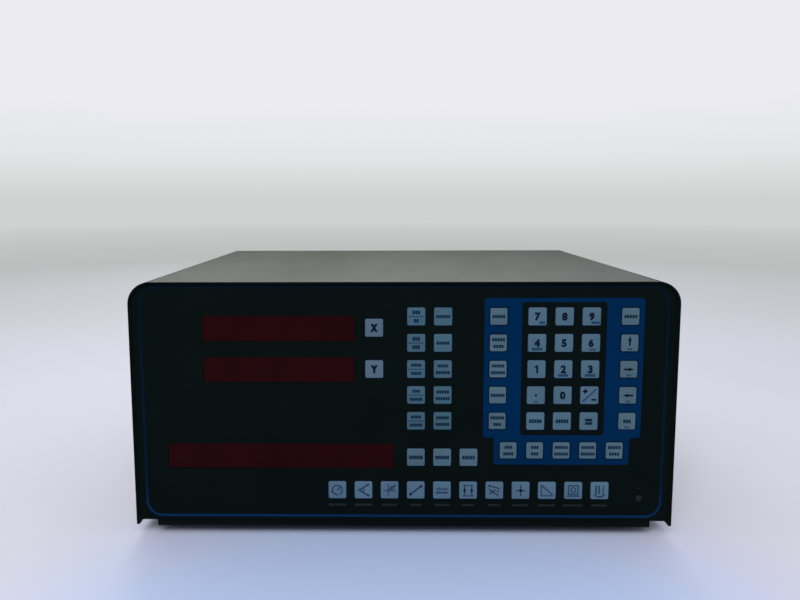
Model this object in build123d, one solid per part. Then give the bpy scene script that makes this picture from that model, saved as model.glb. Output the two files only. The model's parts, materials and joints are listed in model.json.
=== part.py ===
from build123d import *
import math
import os

# Readout console of an optical comparator: sheet-metal case, membrane front panel, boards and rear ports
# Millimetres, +Z up, the operator looks along +Y, origin on the floor below the middle of the case

# Case sheet, bends and clearances
case_depth = 280.0
corner_radius = 16.0
cover_sheet = 2.0
pan_sheet = 1.5
bend_radius = 1.2
fit_gap = 0.3
foot_height = 6.0
foot_radius = 10.0
foot_taper = 1.5
foot_recess_radius = 3.2
foot_recess_depth = 3.0
foot_inset = 42.0
cover_lift = 2.5
pan_lip_height = 5.5
pan_side_height = 29.0
pan_rear_height = 14.0
corner_relief = 13.0
relief_depth = 14.0
rim_recess = 1.0
rear_recess = 12.0
rear_sheet = 1.5

# Front panel across, from its left edge to its right edge
message_margin = 22.7
message_width = 163.9
message_to_keys = 16.25
key_pitch = 19.05
mode_columns = 2
entry_columns = 5.5
entry_half_width = 56.4
entry_margin = 22.4
entry_side_column = 46.4
axis_key_to_keys = 29.9
axis_window_width = 108.8
window_height = 18.6
axis_pitch = 30.0
axis_window_drop = 0.6
message_lift = 0.8

# Front panel upwards, from its lower edge to its upper edge
feature_row_up = 23.2
option_row_up = 24.8
grid_up = 27.2
grid_rows = 5
grid_top_margin = 22.5
entry_bottom_drop = 21.9

# Front panel layers, from the operator's side
overlay_sheet = 1.2
membrane_sheet = 0.8
plate_sheet = 3.0
filter_flange_sheet = 1.5
filter_flange = 3.0
filter_gap = 0.2
filter_recess = 0.1
filter_flange_corner = 1.5
tail_width = 30.0
tail_sheet = 0.4
tail_slot_gap = 1.0

# Keys
key_size = 12.8
entry_side_key = 12.0
key_corner = 0.7
key_gap = 0.3
key_rise = 0.6
key_travel = 0.4
feature_count = 11
option_count = 3
bottom_count = 5

# Status light
light_radius = 1.6
light_from_right = 21.6
light_up = 17.5
light_flange = 0.8

# Display
digit_count = 8
digit_row_margin = 3.6
digit_gap = 0.2
digit_height = 19.0
digit_depth = 8.0
message_module_count = 8
message_row_margin = 1.95
board_sheet = 1.6
display_board_margin = 4.0
display_board_top = 18.0
spacer_radius = 3.0
spacer_inset = 5.0

# Boards on the pan floor
spacer_height = 10.0
main_board_width = 235.0
main_board_left = 20.0
main_board_front = 45.0
main_board_rear = 40.0
supply_board_width = 92.0
supply_board_depth = 112.0
supply_board_right = 16.0
supply_board_rear = 40.0
chip_thickness = 3.6
header_depth = 9.0
header_height = 9.0
header_overhang = 3.0
chip_rows = 3
chip_columns = 6
chip_length = 24.0
chip_depth = 8.0
chip_pitch = 32.0
chip_row_pitch = 26.0
chip_from_left = 22.0
chip_from_front = 52.0
large_chip_columns = 3
large_chip_length = 42.0
large_chip_depth = 15.0
large_chip_pitch = 60.0
large_chip_from_left = 40.0
large_chip_from_front = 140.0
sink_from_front = 14.0
sink_base = 3.0
sink_height = 26.0
fin_count = 10
fin_pitch = 6.0
fin_sheet = 1.6
fin_length = 11.0
can_count = 2
can_radius = 10.0
can_height = 26.0
can_pitch = 28.0
can_behind_middle = 12.0
ribbon_width = 50.0
ribbon_sheet = 1.0
ribbon_bend = 12.0
ribbon_over_options = 42.2
plug_overhang = 3.0
plug_depth = 8.0

# Transformer
core_width = 66.0
core_height = 55.0
core_stack = 30.0
core_leg = 11.0
winding_build = 10.2
winding_corner = 5.0
clamp_sheet = 2.75
transformer_front = 60.0
transformer_right = 62.0
clamp_width = 84.0

# Corner brackets
bracket_sheet = 1.5
bracket_panel_leg = 14.0
bracket_side_leg = 28.0
bracket_height = 125.0

# Cover screws
screw_radius = 2.0
screw_hole_gap = 0.1
screw_head_radius = 3.8
screw_head_height = 2.2
screw_length = 8.0
screw_up = 18.5
screw_end_inset = 50.0
nut_radius = 4.0
nut_height = 2.5

# Rear panel, measured from the middle of the case to each port and up from the pan's underside
inlet_x = 150.0
switch_x = 112.0
fuse_x = 82.0
power_up = 67.5
encoder_x = (-152.0, -108.0)
serial_x = -46.0
port_up = 57.5
port_gap = 0.2
inlet_width = 27.0
inlet_height = 19.5
inlet_depth = 20.0
inlet_flange = 2.0
socket_width = 24.2
socket_height = 16.4
socket_depth = 16.5
socket_chamfer = 4.0
blade_width = 2.0
blade_height = 4.0
blade_length = 11.3
blade_spread = 7.0
blade_drop = 1.5
earth_rise = 2.5
inlet_overhang = 2.0
inlet_overhang_up = 2.25
inlet_corner = 0.9
port_shell_height = 8.4
encoder_shell = 16.9
serial_shell = 39.0
port_shell_depth = 5.8
port_flange = 1.0
port_flange_height = 12.5
port_body_depth = 9.0
port_flange_overhang = 7.0
port_flange_corner = 0.9
port_body_overhang = 1.2
port_body_corner = 1.1
shell_slope = 80.0
shell_corner = 1.1
post_from_shell = 4.05
post_flats = 5.0
post_length = 5.0
vent_count = 11
vent_width = 3.0
vent_height = 34.0
vent_pitch = 8.0
vent_end = 0.9
vent_up = 129.5
pan_vent_count = 7
pan_vent_length = 40.0
pan_vent_from_board = 24.0

# Power switch
rocker_reach = 8.4
rocker_half_width = 5.0
rocker_tilt = 10.0
rocker_rise = 1.0
rocker_under = 4.0
rocker_pivot_out = 1.0
pin_radius = 1.2
pin_gap = 0.05
pin_length = 0.9
switch_wall = 1.2
switch_flange = 1.5
switch_flange_edge = 1.6
switch_depth = 13.0
switch_corner = 0.6

# Fuse holder
fuse_cap_radius = 7.0
fuse_cap_height = 8.0
fuse_body_radius = 6.0
fuse_body_depth = 24.0
fuse_flange_radius = 8.2
fuse_flange = 1.6
fuse_slot_width = 1.6
fuse_slot_depth = 1.2
fuse_nut = 3.0

# Places that follow from the values above
panel_width = message_margin + message_width + message_to_keys + entry_columns * key_pitch
panel_width += entry_half_width + entry_margin
panel_half = panel_width / 2
digit_width = (axis_window_width - 2 * digit_row_margin) / digit_count
message_module_width = (message_width - 2 * message_row_margin) / message_module_count
case_width = panel_width + 2 * (fit_gap + cover_sheet)
case_half = case_width / 2
panel_bottom = foot_height + pan_lip_height + fit_gap
feature_z = panel_bottom + feature_row_up
option_z = feature_z + option_row_up
grid_bottom_z = option_z + grid_up
grid_top_z = grid_bottom_z + (grid_rows - 1) * key_pitch
panel_top = grid_top_z + grid_top_margin
case_top = panel_top + fit_gap + cover_sheet
entry_bottom_z = grid_bottom_z - entry_bottom_drop
first_key_x = message_margin + message_width + message_to_keys - panel_half
entry_x = first_key_x + entry_columns * key_pitch
window_x = message_margin + message_width / 2 - panel_half
axis_key_x = first_key_x - axis_key_to_keys
axis_key_z = (grid_bottom_z + 2 * key_pitch + axis_pitch, grid_bottom_z + 2 * key_pitch)

front_y = -case_depth / 2
overlay_y = front_y + rim_recess
membrane_y = overlay_y + overlay_sheet
plate_y = membrane_y + membrane_sheet
plate_back = plate_y + plate_sheet
filter_back = plate_back + filter_flange_sheet
digit_y = filter_back + fit_gap
display_board_y = digit_y + digit_depth
display_board_back = display_board_y + board_sheet
rear_y = case_depth / 2 - rear_recess
rear_inner_y = rear_y - rear_sheet
pan_floor = foot_height + pan_sheet
board_z = pan_floor + spacer_height
board_top = board_z + board_sheet
wall_bottom = foot_height + cover_lift
screw_z = foot_height + screw_up
main_board_x = main_board_left - panel_half + main_board_width / 2
main_board_y0 = front_y + main_board_front
main_board_y1 = case_depth / 2 - main_board_rear
main_header_y = main_board_y0 + header_depth
ribbon_x = window_x
ribbon_z = option_z + ribbon_over_options
tail_x = first_key_x + key_pitch
tail_z = board_top + header_height / 2
supply_board_x = panel_half - supply_board_right - supply_board_width / 2
supply_board_y = case_depth / 2 - supply_board_rear - supply_board_depth / 2
transformer_x = panel_half - transformer_right
transformer_y = front_y + transformer_front
light_x = panel_half - light_from_right
light_z = panel_bottom + light_up
port_z = foot_height + port_up
power_z = foot_height + power_up


def facing(y):
    """Plane across the case at one depth, normal to the operator, X to the right and Z up."""
    return Plane(origin=(0, y, 0), x_dir=(1, 0, 0), z_dir=(0, -1, 0))


def slab(sketch, y_front, y_back):
    """Sheet across the case between two depths."""
    return extrude(facing(y_back) * sketch, y_back - y_front)


def rear_face(x, z):
    """Plane on the rear panel, normal outwards and Z up."""
    return Plane(origin=(x, rear_y, z), x_dir=(-1, 0, 0), z_dir=(0, 1, 0))


def trimmed(width, height, cut):
    """Rectangle with its corners cut off at 45 degrees."""
    return chamfer(Rectangle(width, height).vertices(), cut)


def block(x, y, z, width, depth, height):
    """Box standing on a height, centred across."""
    return Pos(x, y, z + height / 2) * Box(width, depth, height)


def arched(half_width, bottom, top, radius):
    """Rectangle with round top corners, as the case front."""
    outline = Pos(0, (bottom + top) / 2) * Rectangle(2 * half_width, top - bottom)
    return fillet(outline.vertices().group_by(Axis.Y)[-1], radius)


def panel_outline():
    return arched(panel_half, panel_bottom, panel_top, corner_radius - cover_sheet - fit_gap)


def axis_windows():
    return [(window_x, z - axis_window_drop, axis_window_width) for z in axis_key_z]


def message_window():
    return (window_x, option_z + message_lift, message_width)


def windows():
    return axis_windows() + [message_window()]


def window_holes():
    return [Pos(x, z) * Rectangle(width, window_height) for x, z, width in windows()]


def light_hole(radius):
    return Pos(light_x, light_z) * Circle(radius)


def layer_outline():
    """Panel outline with the windows and the light cut out, as every layer has it."""
    return panel_outline() - window_holes() - light_hole(light_radius + fit_gap)


def mode_places():
    """Two columns of mode keys, then the option keys in one row."""
    grid = [(first_key_x + column * key_pitch, grid_top_z - row * key_pitch)
            for row in range(grid_rows) for column in range(mode_columns)]
    return grid + [(first_key_x + column * key_pitch, option_z) for column in range(option_count)]


def feature_places():
    return [(first_key_x + (c - 3) * key_pitch, feature_z) for c in range(feature_count)]


def entry_places():
    """Name, place and size of each sprung key."""
    keys = []
    names = ("7", "8", "9", "4", "5", "6", "1", "2", "3", "point", "0", "sign", "clear", "enter", "repeat")
    for i, name in enumerate(names):
        x = entry_x + (i % 3 - 1) * key_pitch
        keys.append(("key_" + name, x, grid_top_z - i // 3 * key_pitch, key_size))
    for r, name in enumerate(("store", "store_zero", "show_store", "recall", "recall_axis")):
        keys.append(("key_" + name, entry_x - entry_side_column, grid_top_z - r * key_pitch, entry_side_key))
    for r, name in enumerate(("setup", "up", "right", "left", "escape")):
        keys.append(("key_" + name, entry_x + entry_side_column, grid_top_z - r * key_pitch, entry_side_key))
    for c in range(bottom_count):
        x = entry_x + (c - (bottom_count - 1) / 2) * key_pitch
        keys.append(("key_motor_%d" % (c + 1), x, entry_bottom_z, entry_side_key))
    keys.append(("key_axis_x", axis_key_x, axis_key_z[0], key_size))
    keys.append(("key_axis_y", axis_key_x, axis_key_z[1], key_size))
    return keys


def key_pad(x, z, size, y_back):
    """Embossed pad, proud of the overlay."""
    return slab(Pos(x, z) * trimmed(size, size, key_corner), overlay_y - key_rise, y_back)


def key_hole(x, z, size):
    """Hole of the overlay, the same gap away from a pad's sides and corners."""
    hole = size + 2 * key_gap
    return Pos(x, z) * trimmed(hole, hole, key_corner + (2 - math.sqrt(2)) * key_gap)


def sprung_key(x, z, size):
    """Pad with room behind it for its travel."""
    return key_pad(x, z, size, membrane_y - fit_gap - key_travel)


def fixed_keys(places):
    """Pads that stand on the membrane."""
    return [key_pad(x, z, key_size, membrane_y) for x, z in places]


def front_overlay():
    """Printed sheet with a hole round each key, the windows and the light."""
    holes = [key_hole(x, z, key_size) for x, z in mode_places() + feature_places()]
    holes += [key_hole(x, z, size) for name, x, z, size in entry_places()]
    return slab(layer_outline() - holes, overlay_y, membrane_y)


def keypad_membrane():
    """Switch layer behind the overlay, with its tail to the main board."""
    layer = slab(layer_outline(), membrane_y, plate_y)
    tail_end = main_board_y0
    tail = block(tail_x, (plate_y + tail_end) / 2, tail_z, tail_width, tail_end - plate_y, tail_sheet)
    return layer + tail


def front_plate():
    """Aluminium carrier with window cut-outs and a slot for the tail."""
    slot_size = tail_width + 2 * tail_slot_gap, tail_sheet + 2 * tail_slot_gap
    tail_slot = Pos(tail_x, tail_z + tail_sheet / 2) * Rectangle(*slot_size)
    return slab(layer_outline() - tail_slot, plate_y, plate_back)


def window_filters():
    """Red filters, stepped through the plate and flush with the overlay."""
    filters = []
    for x, z, width in windows():
        nose = Rectangle(width - 2 * filter_gap, window_height - 2 * filter_gap)
        flange = trimmed(width + 2 * filter_flange, window_height + 2 * filter_flange, filter_flange_corner)
        front = slab(Pos(x, z) * nose, overlay_y + filter_recess, plate_back)
        filters.append(front + slab(Pos(x, z) * flange, plate_back, filter_back))
    return filters


def status_light():
    """Lamp a little proud of the overlay, with a flange behind the plate."""
    barrel = slab(light_hole(light_radius), overlay_y - rim_recess / 2, filter_back)
    return barrel + slab(light_hole(light_radius + light_flange), plate_back, filter_back)


def digit_modules(x, z, width, count, height):
    """Row of display modules behind a window."""
    face = Rectangle(width - digit_gap, height)
    first_x = x - (count - 1) / 2 * width
    return [slab(Pos(first_x + i * width, z) * face, digit_y, display_board_y) for i in range(count)]


def axis_digits():
    modules = []
    for x, z, width in axis_windows():
        modules += digit_modules(x, z, digit_width, digit_count, digit_height)
    return modules


def message_digits():
    x, z, width = message_window()
    return digit_modules(x, z, message_module_width, message_module_count, digit_height)


def display_board_box():
    """Edges of the display board: left, right, bottom, top."""
    half = message_width / 2 + display_board_margin
    bottom = option_z + message_lift - window_height / 2 - display_board_margin
    return window_x - half, window_x + half, bottom, panel_top - display_board_top


def display_board():
    left, right, bottom, top = display_board_box()
    board = Pos((left + right) / 2, (bottom + top) / 2) * Rectangle(right - left, top - bottom)
    return slab(board, display_board_y, display_board_back)


def display_spacers():
    """Studs from the front plate to the display board, clear of the filters."""
    left, right, bottom, top = display_board_box()
    low = (axis_key_z[1] + option_z) / 2
    return [slab(Pos(x, z) * RegularPolygon(spacer_radius, 6), plate_back, display_board_y)
            for x in (left + spacer_inset, right - spacer_inset) for z in (low, top - spacer_inset)]


def floor_spacers(x0, x1, y0, y1):
    """Studs under a board's corners and the middle of its long sides."""
    ys = (y0 + spacer_inset, (y0 + y1) / 2, y1 - spacer_inset)
    return [Pos(x, y, pan_floor) * extrude(RegularPolygon(spacer_radius, 6), spacer_height)
            for x in (x0 + spacer_inset, x1 - spacer_inset) for y in ys]


def board_spacers():
    main_half = main_board_width / 2
    main_sides = main_board_x - main_half, main_board_x + main_half
    supply_half = supply_board_width / 2
    supply_deep = supply_board_depth / 2
    supply_sides = supply_board_x - supply_half, supply_board_x + supply_half
    under_main = floor_spacers(*main_sides, main_board_y0, main_board_y1)
    under_supply = floor_spacers(*supply_sides, supply_board_y - supply_deep, supply_board_y + supply_deep)
    return display_spacers() + under_main + under_supply


def main_board():
    """Processor board with the tail's header."""
    depth = main_board_y1 - main_board_y0
    board = block(main_board_x, main_board_y0 + depth / 2, board_z, main_board_width, depth, board_sheet)
    header_y = main_board_y0 + header_depth / 2
    header = block(tail_x, header_y, board_top, tail_width + 2 * header_overhang, header_depth, header_height)
    return board + header


def logic_chips():
    """Rows of packages on the main board."""
    left = main_board_x - main_board_width / 2
    chips = []
    for row in range(chip_rows):
        y = main_board_y0 + chip_from_front + row * chip_row_pitch
        for column in range(chip_columns):
            x = left + chip_from_left + column * chip_pitch
            chips.append(block(x, y, board_top, chip_length, chip_depth, chip_thickness))
    for column in range(large_chip_columns):
        x = left + large_chip_from_left + column * large_chip_pitch
        y = main_board_y0 + large_chip_from_front
        chips.append(block(x, y, board_top, large_chip_length, large_chip_depth, chip_thickness))
    return chips


def ribbon_cable():
    """Flat cable from the display board down to the main board, with its two plugs."""
    upper = display_board_back + header_depth
    lower = board_top + header_height
    fall_y = main_header_y
    route = FilletPolyline((upper, ribbon_z), (fall_y, ribbon_z), (fall_y, lower), radius=ribbon_bend)
    across = Plane(origin=(ribbon_x - ribbon_width / 2, 0, 0), x_dir=(0, 1, 0), z_dir=(1, 0, 0))
    strip = extrude(across * trace(route, ribbon_sheet), ribbon_width)
    plug_length = ribbon_width + 2 * plug_overhang
    trim = Box(plug_length, 2 * ribbon_sheet, 3 * ribbon_sheet)
    trim = Pos(ribbon_x, upper - ribbon_sheet, ribbon_z) * trim
    foot = Box(plug_length, 3 * ribbon_sheet, 2 * ribbon_sheet)
    foot = Pos(ribbon_x, fall_y, lower - ribbon_sheet) * foot
    upper_plug = Box(plug_length, header_depth, plug_depth)
    upper_plug = Pos(ribbon_x, display_board_back + header_depth / 2, ribbon_z) * upper_plug
    lower_plug = block(ribbon_x, fall_y, board_top, plug_length, plug_depth, header_height)
    return [strip - trim - foot, upper_plug, lower_plug]


def power_supply_board():
    """Regulator board with capacitors and a finned heat sink."""
    board_size = supply_board_width, supply_board_depth, board_sheet
    board = block(supply_board_x, supply_board_y, board_z, *board_size)
    sink_y = supply_board_y - supply_board_depth / 2 + sink_from_front
    sink = block(supply_board_x, sink_y, board_top, fin_count * fin_pitch, sink_base, sink_height)
    fin_y = sink_y + (sink_base + fin_length) / 2
    for i in range(fin_count):
        x = supply_board_x + (i - (fin_count - 1) / 2) * fin_pitch
        sink += block(x, fin_y, board_top, fin_sheet, fin_length, sink_height)
    can = extrude(Circle(can_radius), can_height)
    can_y = supply_board_y + can_behind_middle
    can_xs = [supply_board_x + (i - (can_count - 1) / 2) * can_pitch for i in range(can_count)]
    return [board, sink] + [Pos(x, can_y, board_top) * can for x in can_xs]


def transformer():
    """Laminated core on a clamp, with the winding round its middle leg."""
    middle = core_height / 2
    opening = core_width / 2 - 2 * core_leg
    window = Rectangle(opening, core_height - 2 * core_leg)
    offset = core_leg + opening / 2
    outline = Rectangle(core_width, core_height) - Pos(offset, 0) * window - Pos(-offset, 0) * window
    standing = Plane(origin=(0, core_stack / 2, 0), x_dir=(1, 0, 0), z_dir=(0, -1, 0))
    core = extrude(standing * Pos(0, middle) * outline, core_stack)
    clamp = block(0, 0, 0, clamp_width, core_stack, clamp_sheet)
    inner = Rectangle(2 * core_leg + 2 * fit_gap, core_stack + 2 * fit_gap)
    outer = trimmed(2 * (core_leg + winding_build), core_stack + 2 * winding_build, winding_corner)
    height = core_height - 2 * core_leg - 2 * fit_gap
    winding = Pos(0, 0, core_leg + fit_gap) * extrude(outer - inner, height)
    place = Pos(transformer_x, transformer_y, pan_floor)
    return [place * (core + clamp), place * winding]


def angle_section(side, y, towards):
    """Section of one bracket: a leg along the panel and a longer leg along the pan's side."""
    inner_x = panel_half - pan_sheet
    panel_leg = Pos(side * (inner_x - bracket_panel_leg / 2), y + towards * bracket_sheet / 2)
    side_leg = Pos(side * (inner_x - bracket_sheet / 2), y + towards * bracket_side_leg / 2)
    section = panel_leg * Rectangle(bracket_panel_leg, bracket_sheet)
    return section + side_leg * Rectangle(bracket_sheet, bracket_side_leg)


def corner_brackets():
    """Upright angles that tie the front plate and the rear panel to the pan's sides, above the nuts."""
    bottom = Pos(0, 0, screw_z + nut_radius + fit_gap)
    ends = ((plate_back, 1), (rear_inner_y, -1))
    sections = [angle_section(side, y, towards) for side in (-1, 1) for y, towards in ends]
    return [bottom * extrude(section, bracket_height) for section in sections]


def top_cover():
    """Bent sheet over both sides and the top, open below, with its screw holes."""
    outer = arched(case_half, wall_bottom, case_top, corner_radius)
    inner_radius = corner_radius - cover_sheet
    inner = arched(case_half - cover_sheet, wall_bottom - cover_sheet, case_top - cover_sheet, inner_radius)
    return slab(outer - inner, front_y, case_depth / 2) - screw_bores(screw_radius + screw_hole_gap)


def screw_ys():
    return [front_y + screw_end_inset, case_depth / 2 - screw_end_inset]


def screw_bores(radius):
    """Bars through both case sides at the cover screws."""
    across = Plane(origin=(-case_width, 0, 0), x_dir=(0, 1, 0), z_dir=(1, 0, 0))
    return [extrude(across * (Pos(y, screw_z) * Circle(radius)), 2 * case_width) for y in screw_ys()]


def base_pan():
    """Folded tray: floor, side flanges, a low front lip and a rear flange, with reliefs at the corners."""
    front = overlay_y + relief_depth
    rear = rear_inner_y - fit_gap
    outer = Pos(0, foot_height + pan_side_height / 2) * Rectangle(panel_width, pan_side_height)
    outer = fillet(outer.vertices().group_by(Axis.Y)[0], bend_radius + pan_sheet)
    inner_half = panel_half - pan_sheet
    inner = Pos(0, pan_floor + pan_side_height / 2) * Rectangle(2 * inner_half, pan_side_height)
    inner = fillet(inner.vertices().group_by(Axis.Y)[0], bend_radius)
    tray = slab(outer - inner, front, rear)
    lip_half = panel_half - corner_relief
    tray += folded_edge(overlay_y, front, pan_lip_height, lip_half, 1)
    tray += folded_edge(rear_inner_y, rear - relief_depth, pan_rear_height, lip_half, -1)
    nuts = screw_nuts()
    for nut in nuts:
        tray += nut
    return tray - screw_bores(screw_radius + screw_hole_gap) - floor_vents()


def folded_edge(y_edge, y_inner, height, half_width, inwards):
    """Strip of floor with its edge folded up."""
    run = abs(y_inner - y_edge)
    outer = Pos(run / 2, height / 2) * Rectangle(run, height)
    corner = outer.vertices().sort_by_distance((0, 0))[0]
    outer = fillet(corner, bend_radius + pan_sheet)
    inner = Pos(pan_sheet + run / 2, pan_sheet + height / 2) * Rectangle(run, height)
    inner = fillet(inner.vertices().sort_by_distance((0, 0))[0], bend_radius)
    origin = (-inwards * half_width, y_edge, foot_height)
    side = Plane(origin=origin, x_dir=(0, inwards, 0), z_dir=(inwards, 0, 0))
    return extrude(side * (outer - inner), 2 * half_width)


def screw_nuts():
    """Clinch nuts inside the pan's side flanges."""
    nut = extrude(RegularPolygon(nut_radius, 6), nut_height)
    nuts = []
    for side in (-1, 1):
        x = side * (panel_half - pan_sheet)
        for y in screw_ys():
            nuts.append(Plane(origin=(x, y, screw_z), x_dir=(0, side, 0), z_dir=(-side, 0, 0)) * nut)
    return nuts


def floor_vents():
    """Air slots in the pan floor, clear of the boards' studs."""
    xs = [(i - (pan_vent_count - 1) / 2) * 2 * vent_pitch for i in range(pan_vent_count)]
    slot = extrude(trimmed(vent_width, pan_vent_length, vent_end), 3 * pan_sheet)
    y = main_board_y0 + pan_vent_from_board
    return [Pos(x, y, foot_height - pan_sheet) * slot for x in xs]


def cover_screws():
    """Flat-topped screws through the cover into the pan's nuts."""
    head = extrude(Circle(screw_head_radius), screw_head_height)
    screw = head + extrude(Circle(screw_radius), -screw_length)
    screws = []
    for side in (-1, 1):
        for y in screw_ys():
            outwards = Plane(origin=(side * case_half, y, screw_z), x_dir=(0, 1, 0), z_dir=(side, 0, 0))
            screws.append(outwards * screw)
    return screws


def rear_panel():
    """Rear sheet with cut-outs for the ports and two rows of air slots."""
    outline = arched(panel_half, wall_bottom, panel_top, corner_radius - cover_sheet - fit_gap)
    cuts = [Pos(inlet_x, power_z) * Rectangle(inlet_width + 2 * port_gap, inlet_height + 2 * port_gap)]
    switch_width, switch_height = switch_body_size()
    cuts.append(Pos(switch_x, power_z) * Rectangle(switch_width + 2 * port_gap, switch_height + 2 * port_gap))
    cuts.append(Pos(fuse_x, power_z) * Circle(fuse_body_radius + port_gap))
    for x in encoder_x:
        cuts.append(Pos(x, port_z) * port_outline(encoder_shell, port_gap))
    cuts.append(Pos(serial_x, port_z) * port_outline(serial_shell, port_gap))
    for i in range(vent_count):
        x = (i - (vent_count - 1) / 2) * vent_pitch
        cuts.append(Pos(x, foot_height + vent_up) * trimmed(vent_width, vent_height, vent_end))
    return slab(outline - cuts, rear_inner_y, rear_y)


def port_outline(shell, gap):
    """Body of a port where it passes the rear panel."""
    grow = 2 * (port_body_overhang + gap)
    return trimmed(shell + grow, port_shell_height + grow, port_body_corner)


def port(x, shell):
    """Shielded D-shaped port with its flange, body and two jack posts."""
    place = rear_face(x, port_z)
    flange = trimmed(shell + 2 * port_flange_overhang, port_flange_height, port_flange_corner)
    flange = extrude(flange, port_flange)
    shape = Trapezoid(shell, port_shell_height, shell_slope)
    shape = Rot(0, 0, 180) * chamfer(shape.vertices(), shell_corner)
    nose = Pos(0, 0, port_flange) * extrude(shape, port_shell_depth)
    body = extrude(port_outline(shell, 0), -port_body_depth)
    solid = flange + nose + body
    post = extrude(RegularPolygon(post_flats / 2, 6, False), post_length)
    for side in (-1, 1):
        solid += Pos(side * (shell / 2 + post_from_shell), 0, port_flange) * post
    return place * solid


def power_inlet():
    """Three-blade mains inlet with an open socket."""
    place = rear_face(inlet_x, power_z)
    flange = trimmed(inlet_width + 2 * inlet_overhang, inlet_height + 2 * inlet_overhang_up, inlet_corner)
    flange = extrude(flange, inlet_flange)
    body = extrude(Rectangle(inlet_width, inlet_height), -inlet_depth)
    mouth = Rectangle(socket_width, socket_height)
    mouth = chamfer(mouth.vertices().group_by(Axis.Y)[-1], socket_chamfer)
    cavity = Pos(0, 0, inlet_flange) * extrude(mouth, -socket_depth)
    solid = flange + body - cavity
    blade = extrude(Rectangle(blade_width, blade_height), blade_length)
    for x, y in ((-blade_spread, -blade_drop), (blade_spread, -blade_drop), (0, earth_rise)):
        solid += Pos(x, y, inlet_flange - socket_depth) * blade
    return place * solid


def switch_body_size():
    """Width and height of the power switch where it passes the rear panel."""
    half_width = rocker_half_width + fit_gap + switch_wall
    half_height = rocker_reach + fit_gap + switch_wall
    return 2 * half_width, 2 * half_height


def switch_housing():
    """Frame of the power switch with the rocker's well and its pivot holes."""
    width, height = switch_body_size()
    edge = 2 * switch_flange_edge
    flange = extrude(trimmed(width + edge, height + edge, switch_corner), switch_flange)
    body = extrude(Rectangle(width, height), -switch_depth)
    dip = rocker_reach * math.sin(math.radians(rocker_tilt))
    well_depth = dip + rocker_under - rocker_pivot_out + fit_gap
    mouth = Rectangle(width - 2 * switch_wall, height - 2 * switch_wall)
    well = Pos(0, 0, switch_flange) * extrude(mouth, -(well_depth + switch_flange))
    bar_half = rocker_half_width + pin_length + fit_gap
    bore = Pos(0, 0, rocker_pivot_out) * Rot(0, 90, 0) * Cylinder(pin_radius + pin_gap, 2 * bar_half)
    return rear_face(switch_x, power_z) * (flange + body - well - bore)


def power_rocker():
    """Rocker with a shallow V face and two pivot pins, at rest with its lower half pressed in."""
    rise = rocker_rise + rocker_reach * math.tan(math.radians(rocker_tilt))
    bottom = (-rocker_reach, -rocker_under), (rocker_reach, -rocker_under)
    sector = Polyline(*bottom, (rocker_reach, rise), (0, rocker_rise), (-rocker_reach, rise), close=True)
    profile = make_face(sector) & Circle(rocker_reach)
    across = Plane(origin=(rocker_half_width, 0, 0), x_dir=(0, 1, 0), z_dir=(-1, 0, 0))
    solid = extrude(across * (Rot(0, 0, 180) * profile), 2 * rocker_half_width)
    pins = Rot(0, 90, 0) * Cylinder(pin_radius, 2 * (rocker_half_width + pin_length))
    tilted = Rot(rocker_tilt, 0, 0) * (solid + pins)
    return rear_face(switch_x, power_z) * Pos(0, 0, rocker_pivot_out) * tilted


def fuse_holder():
    """Screwed fuse holder with a slotted cap."""
    place = rear_face(fuse_x, power_z)
    flange = extrude(Circle(fuse_flange_radius), fuse_flange)
    cap = Pos(0, 0, fuse_flange) * extrude(Circle(fuse_cap_radius), fuse_cap_height - fuse_flange)
    slot = Pos(0, 0, fuse_cap_height) * Box(2 * fuse_cap_radius, fuse_slot_width, 2 * fuse_slot_depth)
    body = extrude(Circle(fuse_body_radius), -fuse_body_depth)
    nut = Pos(0, 0, -rear_sheet) * extrude(RegularPolygon(fuse_flange_radius, 6), -fuse_nut)
    return place * (flange + cap - slot + body + nut)


def rubber_feet():
    """Tapered feet with a hexagonal screw recess."""
    foot = Pos(0, 0, foot_height / 2) * Cone(foot_radius, foot_radius - foot_taper, foot_height)
    foot -= extrude(RegularPolygon(foot_recess_radius, 6), foot_recess_depth)
    xs = (foot_inset - case_half, case_half - foot_inset)
    ys = (front_y + foot_inset, case_depth / 2 - foot_inset)
    return [Pos(x, y, 0) * foot for x in xs for y in ys]


def sub_parts():
    """Every node with its solids."""
    nodes = {
        "top_cover": top_cover(),
        "base_pan": base_pan(),
        "rear_panel": rear_panel(),
        "corner_brackets": corner_brackets(),
        "cover_screws": cover_screws(),
        "rubber_feet": rubber_feet(),
        "front_overlay": front_overlay(),
        "keypad_membrane": keypad_membrane(),
        "front_plate": front_plate(),
        "window_filters": window_filters(),
        "status_light": status_light(),
        "mode_keys": fixed_keys(mode_places()),
        "feature_keys": fixed_keys(feature_places()),
        "axis_digits": axis_digits(),
        "message_digits": message_digits(),
        "display_board": display_board(),
        "board_spacers": board_spacers(),
        "ribbon_cable": ribbon_cable(),
        "main_board": main_board(),
        "logic_chips": logic_chips(),
        "power_supply_board": power_supply_board(),
        "transformer": transformer(),
        "power_inlet": power_inlet(),
        "fuse_holder": fuse_holder(),
        "switch_housing": switch_housing(),
        "power_rocker": power_rocker(),
        "encoder_ports": [port(x, encoder_shell) for x in encoder_x],
        "serial_port": port(serial_x, serial_shell),
    }
    for name, x, z, size in entry_places():
        nodes[name] = sprung_key(x, z, size)
    return nodes


def main():
    os.makedirs("parts", exist_ok=True)
    for name, shape in sub_parts().items():
        solids = Compound(children=shape) if isinstance(shape, list) else shape
        export_step(solids, "parts/" + name + ".step")


main()
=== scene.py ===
import json
import math

import bmesh
import bpy
from mathutils import Matrix, Vector

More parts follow.
